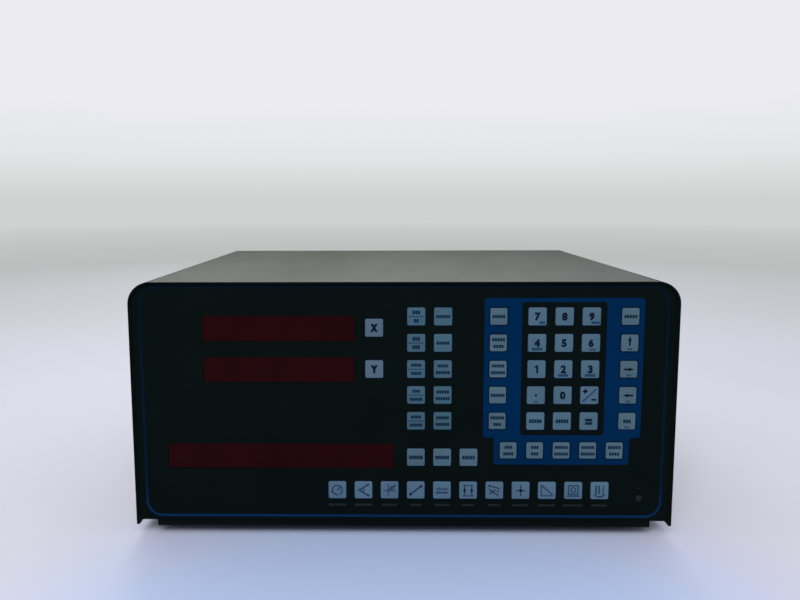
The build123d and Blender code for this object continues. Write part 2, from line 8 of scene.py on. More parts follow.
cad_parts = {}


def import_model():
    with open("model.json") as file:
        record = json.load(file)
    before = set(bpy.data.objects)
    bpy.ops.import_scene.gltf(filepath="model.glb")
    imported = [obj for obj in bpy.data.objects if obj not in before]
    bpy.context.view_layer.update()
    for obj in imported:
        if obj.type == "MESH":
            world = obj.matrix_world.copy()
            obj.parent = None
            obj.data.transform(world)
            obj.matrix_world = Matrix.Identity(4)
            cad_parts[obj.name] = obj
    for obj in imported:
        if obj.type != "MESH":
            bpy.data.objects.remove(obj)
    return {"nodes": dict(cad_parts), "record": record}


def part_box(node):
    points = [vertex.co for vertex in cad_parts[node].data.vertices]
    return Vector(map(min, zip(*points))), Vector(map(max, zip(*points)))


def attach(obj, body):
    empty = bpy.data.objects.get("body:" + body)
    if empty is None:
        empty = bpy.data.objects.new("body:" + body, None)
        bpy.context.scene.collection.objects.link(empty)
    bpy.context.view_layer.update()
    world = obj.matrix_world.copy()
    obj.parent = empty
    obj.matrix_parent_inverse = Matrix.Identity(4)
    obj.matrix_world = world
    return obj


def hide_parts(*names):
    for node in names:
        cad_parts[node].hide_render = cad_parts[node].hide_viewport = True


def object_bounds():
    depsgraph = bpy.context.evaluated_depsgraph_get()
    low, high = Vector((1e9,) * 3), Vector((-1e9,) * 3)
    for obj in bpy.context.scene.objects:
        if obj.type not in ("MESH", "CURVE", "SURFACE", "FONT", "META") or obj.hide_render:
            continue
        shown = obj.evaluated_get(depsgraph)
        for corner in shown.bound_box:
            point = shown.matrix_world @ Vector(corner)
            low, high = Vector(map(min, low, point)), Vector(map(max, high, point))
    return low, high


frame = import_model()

nodes = frame["nodes"]
slots = {part["node"]: part["material_slot"] for part in frame["record"]["subparts"]}
members = frame["record"]["behaviour"]["bodies"]
bodies = {node: body for body in members for node in members[body]}
cad_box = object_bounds()

# Sizes in millimetres, in the frame of the model: X to the operator's right, Y to the rear, Z up
MM = 0.001

# Prints and pads on the front
print_thickness = 0.04
print_weld = 0.001
key_pitch = 19.05
pad_edge, pad_edge_steps = 0.35, 3
pad_corner, least_corner = 1.2, 0.3
corner_steps, border_steps = 5, 10
mitre_limit = 0.4
halo_gap, halo_width = 0.32, 0.9
border_half, border_low, border_high = 188.15, 14.3, 185.2
border_width, border_radius, border_dimmed = 1.8, 12.0, 40.0
field_left, field_right = 58.0, 170.8
field_low, field_step, field_high = 54.4, 74.6, 176.4
field_inset, field_corner, field_middle = 7.8, 2.0, 110.0
well_left, well_right = 84.6, 144.4
well_low, well_high = 76.4, 173.4

# Legends on the keys, and the blocks that stand for words
letter_height, tall_letter = 2.2, 2.7
letter_pitch, letter_share = 1.86, 0.83
word_width = 10.2
line_apart, divided_apart = 4.9, 6.0
divider_width, divider_height = 11.2, 0.8
wide_note_pitch, wide_note_height, wide_note_rise = 1.45, 1.9, 2.0
small_note_pitch, small_note_height, small_note_rise = 1.2, 1.4, 1.6
caption_z, caption_pitch, caption_height, caption_share = 23.6, 1.6, 1.6, 0.6
glyph_height, glyph_bold = 5.9, 0.08
glyph_rise, glyph_steps = 0.72, 3
axis_letter_width, axis_letter_bold = 5.4, 0.16
point_radius = 0.9
plus_place, plus_height, plus_bold = 3.0, 3.4, 0.12
slash_margin, slash_width = 1.6, 1.1
minus_left, minus_right, minus_low, minus_high = 1.5, 4.9, -3.8, -2.5
arrow_length, arrow_width, arrow_head_width, arrow_head_length = 7.4, 1.2, 2.6, 3.8
repeat_half, repeat_height, repeat_rises = 2.6, 2.0, (-2.6, -0.1)

# Status light, the painted reflection ring round it and the mark above it
lens_radius, lens_dome, lens_flange, lens_steps, lens_reflection_reach = 1.6, 0.9, 1.5, 24, 5.0
reflection_ring_inner, reflection_ring_outer = 1.7, 2.15
light_mark_x, light_mark_z, light_mark_radius = -0.7, 7.4, 0.6

# Rear pieces
rear_face_y = 128.0
encoder_shell, serial_shell, shell_height = 16.9, 39.0, 8.4
encoder_pins, serial_pins = 5, 13
port_flange_overhang, port_face_out = 7.0, 6.8
shell_rim, shell_slope, shell_corner = 0.7, 10.0, 1.4
pin_pitch, pin_rows_apart = 2.77, 2.84
pin_hole, pin_radius = 0.55, 0.45
blade_places = (-7.0, 0.0, 7.0)
blade_half_width, blade_half_height, blade_face_area = 1.2, 5.0, 60.0
on_half_width, on_half_height = 0.35, 1.8
off_outer, off_inner = 1.9, 1.3
least_facing = 0.7

# Screws
screw_cross, screw_slot = 4.4, 1.0
screw_cross_depth, cutter_proud = 1.2, 0.5

# Rounded edge of each rigid piece, and the turns in degrees that count as flat, sharp or smooth
EDGES = {
    "top_cover": 0.35, "base_pan": 0.25, "rear_panel": 0.25, "power_inlet": 0.3, "switch_housing": 0.25,
    "power_rocker": 0.2, "fuse_holder": 0.3, "encoder_ports": 0.2, "serial_port": 0.2, "rubber_feet": 0.5,
    "cover_screws": 0.5, "window_filters": 0.15,
}
edge_segments = 2
mesh_weld = 0.002
flat_turn, sharp_turn, smooth_turn = 0.5, 32.0, 35.0

# Staging, in metres
floor_radius, floor_gap = 6.0, 0.0002
fade_from, fade_to = 0.5, 2.2
# Painted bluish shade on the floor in front of the case
front_shade_place, front_shade_from, front_shade_to = (0.0, -0.3, 0.0), 0.14, 0.32

# The photograph's camera, fitted to the corners of the case and the key centres
focal_pixels = 653.37
image_width, image_height = 800, 600
principal = 380.71, 267.88
camera_place = -9.10, -596.15, 246.34
camera_pitch, camera_yaw, camera_roll = 6.052, 0.795, -0.165
sensor_width = 36.0


def millimetres(node):
    """Lowest and highest corner of a CAD node, in millimetres."""
    low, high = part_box(node)
    return low / MM, high / MM


def srgb(red, green, blue):
    """Linear colour of an 8-bit screen colour."""
    steps = [value / 255 for value in (red, green, blue)]
    return tuple(s / 12.92 if s <= 0.04045 else ((s + 0.055) / 1.055) ** 2.4 for s in steps)


# Materials

def new_material(name, roughness, metallic=0.0, specular=0.5):
    made = bpy.data.materials.new(name)
    made.use_nodes = True
    shader = made.node_tree.nodes["Principled BSDF"]
    shader.inputs["Roughness"].default_value = roughness
    shader.inputs["Metallic"].default_value = metallic
    shader.inputs["Specular IOR Level"].default_value = specular
    return made, made.node_tree, shader


def surface_place(tree):
    return tree.nodes.new("ShaderNodeTexCoord").outputs["Object"]


def axis_of(tree, place, axis):
    parts = tree.nodes.new("ShaderNodeSeparateXYZ")
    tree.links.new(place, parts.inputs["Vector"])
    return parts.outputs[axis]


def distance_from(tree, place):
    """Distance of the surface from a place, in metres."""
    made = tree.nodes.new("ShaderNodeVectorMath")
    made.operation = "DISTANCE"
    made.inputs[1].default_value = place
    tree.links.new(surface_place(tree), made.inputs[0])
    return made.outputs["Value"]


def stretched(tree, value, first, last, low=0.0, high=1.0, interpolation="LINEAR"):
    """A value's range from first to last, stretched over low to high."""
    made = tree.nodes.new("ShaderNodeMapRange")
    made.interpolation_type = interpolation
    for limit, number in (("From Min", first), ("From Max", last), ("To Min", low), ("To Max", high)):
        made.inputs[limit].default_value = number
    tree.links.new(value, made.inputs["Value"])
    return made.outputs["Result"]


def noise(tree, per_metre, detail, stretch=(1.0, 1.0, 1.0)):
    """Noise over the surface, with so many features to the metre."""
    mapping = tree.nodes.new("ShaderNodeMapping")
    mapping.inputs["Scale"].default_value = stretch
    texture = tree.nodes.new("ShaderNodeTexNoise")
    texture.inputs["Scale"].default_value = per_metre
    texture.inputs["Detail"].default_value = detail
    tree.links.new(surface_place(tree), mapping.inputs["Vector"])
    tree.links.new(mapping.outputs["Vector"], texture.inputs["Vector"])
    return texture.outputs["Fac"]


def ramp(tree, factor, stops):
    """Colour ramp from (position, colour) stops."""
    made = tree.nodes.new("ShaderNodeValToRGB")
    elements = made.color_ramp.elements
    while len(elements) < len(stops):
        elements.new(0.5)
    for element, (position, colour) in zip(elements, stops):
        element.position = position
        element.color = (*colour, 1.0)
    tree.links.new(factor, made.inputs["Fac"])
    return made.outputs["Color"]


def mixed(tree, share, colour, socket):
    """From a plain colour to the colour of a socket, by a share."""
    made = tree.nodes.new("ShaderNodeMix")
    made.data_type = "RGBA"
    made.inputs["A"].default_value = (*colour, 1)
    tree.links.new(share, made.inputs["Factor"])
    tree.links.new(socket, made.inputs["B"])
    return made.outputs["Result"]


def varied(tree, shader, factor, colour, low, high):
    """Base colour from low to high times a colour, over a factor's middle range."""
    stops = [(place, [value * share for value in colour]) for place, share in ((0.35, low), (0.65, high))]
    tree.links.new(ramp(tree, factor, stops), shader.inputs["Base Color"])


def varied_roughness(tree, shader, factor, low, high):
    tree.links.new(stretched(tree, factor, 0.3, 0.7, low, high), shader.inputs["Roughness"])


def bumped(tree, shader, height, depth_mm, strength):
    made = tree.nodes.new("ShaderNodeBump")
    made.inputs["Distance"].default_value = depth_mm * MM
    made.inputs["Strength"].default_value = strength
    tree.links.new(height, made.inputs["Height"])
    tree.links.new(made.outputs["Normal"], shader.inputs["Normal"])


def textured_paint(name, colour, roughness, specular, dust=0.0, rear_dulling=0.0):
    """Powder coat with fine pebbles, wiped patches and a little dust, duller towards the rear."""
    made, tree, shader = new_material(name, roughness, specular=specular)
    shader.inputs["Sheen Weight"].default_value = dust
    shader.inputs["Sheen Roughness"].default_value = 0.45
    shader.inputs["Sheen Tint"].default_value = (0.74, 1.0, 0.45, 1)
    varied(tree, shader, noise(tree, 14, 4.0), colour, 0.85, 1.15)
    patches = noise(tree, 9, 5.0, (1.0, 0.35, 1.0))
    wiped = stretched(tree, patches, 0.3, 0.7, roughness - 0.05, roughness + 0.06)
    depth = axis_of(tree, surface_place(tree), "Y")
    dulled = stretched(tree, depth, cad_box[0][1], cad_box[1][1], 0.0, rear_dulling)
    total = tree.nodes.new("ShaderNodeMath")
    tree.links.new(wiped, total.inputs[0])
    tree.links.new(dulled, total.inputs[1])
    tree.links.new(total.outputs["Value"], shader.inputs["Roughness"])
    bumped(tree, shader, noise(tree, 1300, 2.0), 0.05, 0.5)
    return made


def printed_film(name, colour, roughness=0.55, specular=0.04):
    """Ink under a finely textured polyester film."""
    made, tree, shader = new_material(name, roughness, specular=specular)
    varied(tree, shader, noise(tree, 30, 3.0), colour, 0.92, 1.08)
    bumped(tree, shader, noise(tree, 2600, 1.0), 0.012, 0.5)
    return made


def graded_film(name, *stops):
    """Film whose colour changes with height, from (millimetres, colour) stops; on the border line the
    change is painted light, a painted reflection at the bottom that fades to painted shade at the top.
    """
    made, tree, shader = new_material(name, 0.55, specular=0.01)
    low, high = stops[0][0], stops[-1][0]
    height = axis_of(tree, surface_place(tree), "Z")
    shares = [((place - low) / (high - low), colour) for place, colour in stops]
    graded = ramp(tree, stretched(tree, height, low * MM, high * MM), shares)
    tree.links.new(graded, shader.inputs["Base Color"])
    bumped(tree, shader, noise(tree, 2600, 1.0), 0.012, 0.5)
    return made


def tinted_window(name, colour):
    """Dark acrylic over the unlit display, uneven in faint upright patches."""
    made, tree, shader = new_material(name, 0.25, specular=0.04)
    varied(tree, shader, noise(tree, 70, 2.0, (1.0, 1.0, 0.3)), colour, 0.86, 1.12)
    bumped(tree, shader, noise(tree, 25, 1.0), 0.01, 0.3)
    return made


def lamp_lens(name, colour):
    """Unlit lamp: a frosted lens, darker in its middle, its paler outer part a painted reflection."""
    made, tree, shader = new_material(name, 0.4, specular=0.12)
    low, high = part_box("status_light")
    # Painted reflection: the lens colour pales from its middle outwards
    outwards = stretched(tree, distance_from(tree, (low + high) / 2), 0.0, lens_reflection_reach * MM)
    varied(tree, shader, outwards, colour, 0.6, 1.0)
    bumped(tree, shader, noise(tree, 900, 1.0), 0.02, 0.3)
    return made


def moulded(name, colour, roughness):
    """Moulded plastic or rubber with a fine grain."""
    made, tree, shader = new_material(name, roughness)
    varied(tree, shader, noise(tree, 60, 3.0), colour, 0.88, 1.12)
    bumped(tree, shader, noise(tree, 1800, 2.0), 0.02, 0.4)
    return made


def plated(name, colour, roughness, per_metre=220, grain=(1.0, 1.0, 1.0)):
    """Bare or plated metal, brushed along the axis that grain makes small."""
    made, tree, shader = new_material(name, roughness, metallic=1.0)
    varied(tree, shader, noise(tree, 90, 4.0), colour, 0.9, 1.08)
    brushed = noise(tree, per_metre, 4.0, grain)
    varied_roughness(tree, shader, brushed, roughness - 0.07, roughness + 0.09)
    bumped(tree, shader, brushed, 0.01, 0.4)
    return made


def circuit_board(name, first, second, track):
    """Solder mask in patches of two greens, with paler tracks under it."""
    made, tree, shader = new_material(name, 0.35)
    tracks = tree.nodes.new("ShaderNodeTexBrick")
    tracks.inputs["Scale"].default_value = 120
    tracks.inputs["Mortar Size"].default_value = 0.06
    for socket, colour in (("Color1", first), ("Color2", second), ("Mortar", track)):
        tracks.inputs[socket].default_value = (*colour, 1)
    tree.links.new(surface_place(tree), tracks.inputs["Vector"])
    tree.links.new(tracks.outputs["Color"], shader.inputs["Base Color"])
    bumped(tree, shader, tracks.outputs["Fac"], 0.03, 0.6)
    return made


def lines_across(tree, axis, scale, distortion=0.0):
    made = tree.nodes.new("ShaderNodeTexWave")
    made.bands_direction = axis
    made.inputs["Scale"].default_value = scale
    made.inputs["Distortion"].default_value = distortion
    tree.links.new(surface_place(tree), made.inputs["Vector"])
    return made.outputs["Fac"]


def laminated(name, colour):
    """Stack of steel laminations, one behind another along Y."""
    made, tree, shader = new_material(name, 0.45, metallic=1.0)
    lines = lines_across(tree, "Y", 320, 0.4)
    varied(tree, shader, lines, colour, 0.7, 1.0)
    bumped(tree, shader, lines, 0.05, 0.7)
    return made


def ribbed(name, colour):
    """Flat cable with its cores side by side across X."""
    made, tree, shader = new_material(name, 0.5)
    lines = lines_across(tree, "X", 125)
    varied(tree, shader, lines, colour, 0.75, 1.0)
    bumped(tree, shader, lines, 0.2, 0.8)
    return made


# How each material is made, and from what
RECIPES = {
    "cover_paint": (textured_paint, srgb(10, 13, 10), 0.35, 0.1, 0.04, 0.2),
    # Painted shade: a darker copy of the cover paint for the cover's faces that look to the front
    "rim_paint": (textured_paint, srgb(6, 14, 14), 0.6, 0.02),
    "pan_paint": (textured_paint, srgb(9, 11, 10), 0.55, 0.05),
    "zinc": (plated, (0.50, 0.50, 0.47), 0.38),
    "aluminium": (plated, (0.60, 0.61, 0.62), 0.34, 900, (0.03, 1.0, 1.0)),
    "panel_print": (printed_film, srgb(7, 16, 15), 0.6, 0.03),
    "key_print": (printed_film, srgb(82, 110, 126)),
    "axis_print": (printed_film, srgb(85, 107, 121)),
    "side_print": (printed_film, srgb(82, 108, 120)),
    "mode_print": (printed_film, srgb(70, 101, 115)),
    "icon_print": (printed_film, srgb(89, 115, 133)),
    "blue_print": (graded_film, (field_low, srgb(1, 40, 75)), (field_middle, srgb(0, 42, 81)),
                   (field_high, srgb(0, 39, 75))),
    "halo_print": (printed_film, srgb(3, 18, 32)),
    "ring_print": (printed_film, srgb(1, 24, 48)),
    # Painted light on the border line: a painted reflection at the bottom that fades to painted shade
    # towards the top
    "line_print": (graded_film, (border_low, srgb(12, 45, 82)), (border_dimmed, srgb(7, 29, 52)),
                   (border_high, srgb(5, 21, 33))),
    "caption_print": (printed_film, srgb(40, 50, 53)),
    "ink_dark": (printed_film, srgb(6, 21, 38)),
    "ink_word": (printed_film, srgb(14, 38, 56)),
    "ink_blue": (printed_film, srgb(18, 58, 88)),
    "ink_line": (printed_film, srgb(38, 68, 100)),
    "ink_navy": (printed_film, srgb(38, 64, 91)),
    "filter_red": (tinted_window, srgb(37, 3, 5)),
    "light_lens": (lamp_lens, srgb(30, 31, 41)),
    "membrane": (printed_film, srgb(14, 20, 26), 0.5, 0.1),
    "digit_face": (moulded, (0.02, 0.018, 0.02), 0.3),
    "circuit_board": (circuit_board, srgb(24, 84, 50), srgb(20, 76, 46), srgb(52, 122, 74)),
    "chip": (moulded, (0.018, 0.018, 0.02), 0.5),
    "ribbon": (ribbed, (0.36, 0.37, 0.38)),
    "core": (laminated, (0.30, 0.29, 0.28)),
    "insulator": (moulded, (0.018, 0.018, 0.019), 0.42),
    "port_shell": (plated, (0.55, 0.54, 0.50), 0.4, 70),
    "brass": (plated, (0.70, 0.55, 0.30), 0.3),
    "rubber": (moulded, (0.014, 0.014, 0.014), 0.75),
    "white_ink": (printed_film, (0.5, 0.5, 0.48), 0.5, 0.3),
}
materials = {name: make(name, *values) for name, (make, *values) in RECIPES.items()}


def dress_frame():
    """Every CAD node takes the material of its slot."""
    for name, node in nodes.items():
        node.data.materials.clear()
        node.data.materials.append(materials[slots[name]])


# Meshes

def linked(name, mesh, *finishes):
    piece = bpy.data.objects.new(name, mesh)
    bpy.context.scene.collection.objects.link(piece)
    for finish in finishes:
        mesh.materials.append(materials[finish])
    return piece


def settled(piece, body, replaced=()):
    """The piece rides on its body and stands for CAD nodes, which it hides."""
    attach(piece, body)
    for node in replaced:
        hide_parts(node)
    return piece


def smoothed(mesh):
    """Smooth faces, with the edges that turn far left sharp."""
    work = bmesh.new()
    work.from_mesh(mesh)
    for face in work.faces:
        face.smooth = True
    for edge in work.edges:
        if len(edge.link_faces) == 2:
            edge.smooth = edge.calc_face_angle(0.0) < math.radians(smooth_turn)
    work.to_mesh(mesh)
    work.free()


def softened(node, edge):
    """A CAD node's form with its sharp edges rounded, in place of the node."""
    work = bmesh.new()
    work.from_mesh(nodes[node].data)
    bmesh.ops.remove_doubles(work, verts=work.verts, dist=mesh_weld * MM)
    bmesh.ops.dissolve_limit(work, angle_limit=math.radians(flat_turn), verts=work.verts, edges=work.edges)
    mesh = bpy.data.meshes.new(node + "_soft")
    work.to_mesh(mesh)
    work.free()
    piece = linked(node + "_soft", mesh, slots[node])
    bevel = piece.modifiers.new("edges", "BEVEL")
    bevel.width = edge * MM
    bevel.segments = edge_segments
    bevel.limit_method = "ANGLE"
    bevel.angle_limit = math.radians(sharp_turn)
    bevel.harden_normals = True
    applied(piece)
    return settled(piece, bodies[node], [node])


def applied(piece):
    """The piece's modifiers, worked into its mesh."""
    bpy.context.view_layer.update()
    evaluated = piece.evaluated_get(bpy.context.evaluated_depsgraph_get())
    mesh = bpy.data.meshes.new_from_object(evaluated)
    piece.modifiers.clear()
    piece.data = mesh


# Outlines on the front, as (x, z) points in millimetres

def rounded_corners(points, radius, steps=corner_steps):
    """Closed outline with each corner turned into an arc."""
    made = []
    count = len(points)
    for index in range(count):
        before, corner, after = (Vector(points[(index + shift) % count]) for shift in (-1, 0, 1))
        inwards = (before - corner).normalized()
        onwards = (after - corner).normalized()
        half = inwards.angle(onwards) / 2
        centre = corner + (inwards + onwards).normalized() * (radius / math.sin(half))
        start = corner + inwards * (radius / math.tan(half)) - centre
        turn = start.angle_signed(corner + onwards * (radius / math.tan(half)) - centre)
        for step in range(steps + 1):
            spot = centre + Matrix.Rotation(-turn * step / steps, 2) @ start
            made.append((spot.x, spot.y))
    return made


def rectangle(left, right, low, high, radius=0.0, steps=corner_steps):
    corners = [(left, low), (right, low), (right, high), (left, high)]
    return rounded_corners(corners, radius, steps) if radius else corners


def square(x, z, size, radius):
    half = size / 2
    return rectangle(x - half, x + half, z - half, z + half, radius)


def circle(x, z, radius, steps=28):
    angles = [2 * math.pi * step / steps for step in range(steps)]
    return [(x + radius * math.cos(angle), z + radius * math.sin(angle)) for angle in angles]


def arc(x, z, radius, first, last, steps=12):
    """Open run of points round a centre, in degrees."""
    angles = [math.radians(first + (last - first) * step / steps) for step in range(steps + 1)]
    return [(x + radius * math.cos(angle), z + radius * math.sin(angle)) for angle in angles]


def ribbon(points, width):
    """Outline of a stroke of one width along open points, with mitred corners."""
    runs = [Vector(point) for point in points]
    sides = []
    for index, point in enumerate(runs):
        arriving = (point - runs[index - 1]).normalized() if index else (runs[1] - point).normalized()
        leaving = (runs[index + 1] - point).normalized() if index < len(runs) - 1 else arriving
        along = (arriving + leaving).normalized()
        across = Vector((-along.y, along.x)) * (width / 2 / max(mitre_limit, along.dot(arriving)))
        sides.append((point + across, point - across))
    return [tuple(side[0]) for side in sides] + [tuple(side[1]) for side in reversed(sides)]


def figure_one(x, z, height):
    """Bold one with a slanted flag."""
    half = height / 2
    shape = [(-0.25, -half), (1.1, -half), (1.1, half), (0.1, half)]
    shape += [(-1.5, half - 1.0), (-1.5, half - 2.1), (-0.25, half - 1.45)]
    return [(x + px, z + pz) for px, pz in shape]


def arrow(x, z, length, turn, width, head_width, head_length):
    """Arrow centred on a place, pointing along an angle in degrees."""
    half = length / 2
    neck = half - head_length
    side = [(-half, width / 2), (neck, width / 2), (neck, head_width / 2)]
    shape = side + [(half, 0)] + [(px, -pz) for px, pz in reversed(side)]
    cosine, sine = math.cos(math.radians(turn)), math.sin(math.radians(turn))
    return [(x + cosine * px - sine * pz, z + sine * px + cosine * pz) for px, pz in shape]


def word(x, z, letters, pitch, height, share=letter_share):
    """Row of plain blocks in place of a word."""
    width = pitch * share
    first = x - (letters - 1) * pitch / 2
    return [rectangle(left - width / 2, left + width / 2, z - height / 2, z + height / 2)
            for left in (first + pitch * index for index in range(letters))]


def facing_front(y):
    """Place of a print that lies on a face towards the operator: across is X and up is Z."""
    return Matrix(((1, 0, 0, 0), (0, 0, -1, y - print_thickness / 2), (0, 1, 0, 0), (0, 0, 0, 1)))


def facing_rear(y):
    return facing_front(y + print_thickness)


class Print:
    """Thin printed shapes on a flat face, drawn across and up and then set in their place."""

    def __init__(self, name, place, *inks):
        self.name = name
        self.place = place
        self.inks = inks
        self.mesh = bmesh.new()

    def add(self, curve, ink):
        """A flat curve's filled form, laid on the face."""
        curve.extrude = print_thickness / 2
        holder = bpy.data.objects.new("outline", curve)
        bpy.context.scene.collection.objects.link(holder)
        form = bpy.data.meshes.new_from_object(holder)
        bpy.data.objects.remove(holder)
        bpy.data.curves.remove(curve)
        before = len(self.mesh.faces)
        self.mesh.from_mesh(form)
        bpy.data.meshes.remove(form)
        self.mesh.faces.ensure_lookup_table()
        for face in self.mesh.faces[before:]:
            face.material_index = self.inks.index(ink)
        return {vertex for face in self.mesh.faces[before:] for vertex in face.verts}

    def fill(self, loops, ink):
        """One shape, from its outline and the holes in it."""
        curve = bpy.data.curves.new("outline", "CURVE")
        curve.dimensions = "2D"
        curve.fill_mode = "BOTH"
        for points in loops:
            spline = curve.splines.new("POLY")
            spline.points.add(len(points) - 1)
            for target, (x, z) in zip(spline.points, points):
                target.co = (x, z, 0, 1)
            spline.use_cyclic_u = True
        self.add(curve, ink)

    def marks(self, shapes, ink):
        """Separate outlines, each filled by itself."""
        for points in shapes:
            self.fill([points], ink)

    def glyph(self, text, x, z, height, ink, width=None, bold=glyph_bold):
        """A bold digit, letter or sign, scaled to its height and, where one is given, its width."""
        curve = bpy.data.curves.new("glyph", "FONT")
        curve.body = text
        curve.size = height / glyph_rise
        curve.offset = bold * height
        curve.resolution_u = glyph_steps
        corners = self.add(curve, ink)
        left, right = (pick(vertex.co.x for vertex in corners) for pick in (min, max))
        low, high = (pick(vertex.co.y for vertex in corners) for pick in (min, max))
        tall = height / (high - low)
        wide = width / (right - left) if width else tall
        for vertex in corners:
            vertex.co.x = x + (vertex.co.x - (left + right) / 2) * wide
            vertex.co.y = z + (vertex.co.y - (low + high) / 2) * tall

    def piece(self, body, slot):
        """The finished print, in its place."""
        bmesh.ops.remove_doubles(self.mesh, verts=self.mesh.verts, dist=print_weld)
        flat = [edge for edge in self.mesh.edges if all(len(face.verts) == 3 for face in edge.link_faces)]
        bmesh.ops.beautify_fill(self.mesh, faces=self.mesh.faces, edges=flat)
        loose = [vertex for vertex in self.mesh.verts if not vertex.link_faces]
        bmesh.ops.delete(self.mesh, geom=loose, context="VERTS")
        self.mesh.transform(Matrix.Scale(MM, 4) @ self.place)
        mesh = bpy.data.meshes.new(self.name)
        self.mesh.to_mesh(mesh)
        self.mesh.free()
        return settled(linked(self.name, mesh, *self.inks), body)


# Keys

def pad_into(work, x, z, size, y_front, y_back):
    """Flat-faced pad with a rounded front edge, added to a bmesh."""
    rings = [(0.0, y_back)]
    for step in range(pad_edge_steps + 1):
        angle = math.radians(90 * step / pad_edge_steps)
        rings.append((pad_edge * (1 - math.cos(angle)), y_front + pad_edge * (1 - math.sin(angle))))
    loops = []
    for inset, y in rings:
        outline = square(x, z, size - 2 * inset, max(least_corner, pad_corner - inset))
        loops.append([work.verts.new((px * MM, y * MM, pz * MM)) for px, pz in outline])
    for lower, upper in zip(loops, loops[1:]):
        for index in range(len(lower)):
            after = (index + 1) % len(lower)
            work.faces.new((lower[index], lower[after], upper[after], upper[index]))
    work.faces.new(loops[-1])
    work.faces.new(reversed(loops[0]))


def pads(name, groups, y_front, y_back, body, replaced):
    """Pads in place of a node, from the places of each finish."""
    work = bmesh.new()
    for index, places in enumerate(groups.values()):
        before = len(work.faces)
        for x, z, size in places:
            pad_into(work, x, z, size, y_front, y_back)
        work.faces.ensure_lookup_table()
        for face in work.faces[before:]:
            face.material_index = index
    mesh = bpy.data.meshes.new(name)
    work.to_mesh(mesh)
    work.free()
    smoothed(mesh)
    return settled(linked(name, mesh, *groups), body, [replaced])


# Letters in each row of a key's words
LEGENDS = {
    "key_store": [5], "key_store_zero": [5, 4], "key_show_store": [5, 7], "key_recall": [6],
    "key_recall_axis": [6, 3], "key_setup": [5], "key_escape": [3], "key_clear": [5], "key_enter": [5],
    "key_motor_1": [3, 4], "key_motor_2": [3, 3], "key_motor_3": [5, 7], "key_motor_4": [5, 6],
    "key_motor_5": [5, 4],
}
TALL_WORDS = "key_clear", "key_enter", "key_escape"

# Turn in degrees and lift of each arrow, and the shift and letters of each note under a legend
ARROWS = {"key_up": (90, 1.6), "key_right": (0, 0.0), "key_left": (180, 0.0)}
WIDE_NOTES = {"key_4": (0.0, 5), "key_2": (0.0, 5), "key_3": (0.0, 5),
              "key_9": (2.6, 4), "key_7": (3.2, 3)}
SMALL_NOTES = {"key_6": (1.2, 4), "key_point": (0.0, 2), "key_up": (0.0, 3), "key_right": (0.0, 3),
               "key_left": (0.0, 3), "key_escape": (0.0, 3)}


def rows_of_words(print_, x, z, rows, apart=line_apart, height=letter_height):
    for index, letters in enumerate(rows):
        row_z = z + (len(rows) - 1 - 2 * index) * apart / 2
        print_.marks(word(x, row_z, letters, min(letter_pitch, word_width / letters), height), "ink_word")


def key_legend(name, x, z, size, y_front):
    print_ = Print(name + "_print", facing_front(y_front), "ink_dark", "ink_word", "ink_blue", "ink_line")
    short = name.replace("key_", "").replace("axis_", "").upper()
    if short == "1":
        print_.fill([figure_one(x, z, glyph_height)], "ink_dark")
    elif short in "XY":
        print_.glyph(short, x, z, glyph_height, "ink_dark", axis_letter_width, axis_letter_bold)
    elif short in "023456789":
        print_.glyph(short, x, z, glyph_height, "ink_dark")
    elif name == "key_point":
        print_.fill([circle(x, z, point_radius, 16)], "ink_dark")
    elif name == "key_sign":
        reach = size / 2 - slash_margin
        print_.fill([ribbon([(x - reach, z - reach), (x + reach, z + reach)], slash_width)], "ink_line")
        print_.glyph("+", x - plus_place, z + plus_place, plus_height, "ink_dark", bold=plus_bold)
        minus = rectangle(x + minus_left, x + minus_right, z + minus_low, z + minus_high)
        print_.fill([minus], "ink_dark")
    elif name in ARROWS:
        turn, lift = ARROWS[name]
        shape = arrow(x, z + lift, arrow_length, turn, arrow_width, arrow_head_width, arrow_head_length)
        print_.fill([shape], "ink_dark")
    elif name == "key_repeat":
        print_.marks([rectangle(x - repeat_half, x + repeat_half, z + rise, z + rise + repeat_height)
                      for rise in repeat_rises], "ink_word")
    else:
        height = tall_letter if name in TALL_WORDS else letter_height
        rows_of_words(print_, x, z, LEGENDS[name], height=height)
    foot = z - size / 2
    if name in WIDE_NOTES:
        shift, letters = WIDE_NOTES[name]
        note = word(x + shift, foot + wide_note_rise, letters, wide_note_pitch, wide_note_height)
        print_.marks(note, "ink_blue")
    if name in SMALL_NOTES:
        shift, letters = SMALL_NOTES[name]
        note = word(x + shift, foot + small_note_rise, letters, small_note_pitch, small_note_height)
        print_.marks(note, "ink_line")
    return print_.piece(name, "key_print")


def sprung_places():
    """Middle and width of each sprung key."""
    places = {}
    for name in nodes:
        if name.startswith("key_"):
            low, high = millimetres(name)
            places[name] = (low.x + high.x) / 2, (low.z + high.z) / 2, high.x - low.x
    return places


def in_well(x, z):
    """Whether a place is on the black patch inside the blue field."""
    return well_left < x < well_right and z > well_low


def sprung_keys():
    for name, (x, z, size) in sorted(sprung_places().items()):
        low, high = millimetres(name)
        finish = "axis_print" if "axis_" in name else "key_print" if in_well(x, z) else "side_print"
        pads(name + "_pad", {finish: [(x, z, size)]}, low.y, high.y, name, name)
        key_legend(name, x, z, size, low.y)


# Letters in the upper, lower and right-hand words of each row of mode keys, and of the option keys
MODE_ROWS = [([3], [2], [7]), ([3], [3], [5]), ([4], [4], [4, 6]), ([3], [5], [5, 6]), ([4], [5], [5, 6])]
OPTION_ROWS = [7, 6, 5]
tall_mode_rows = 2


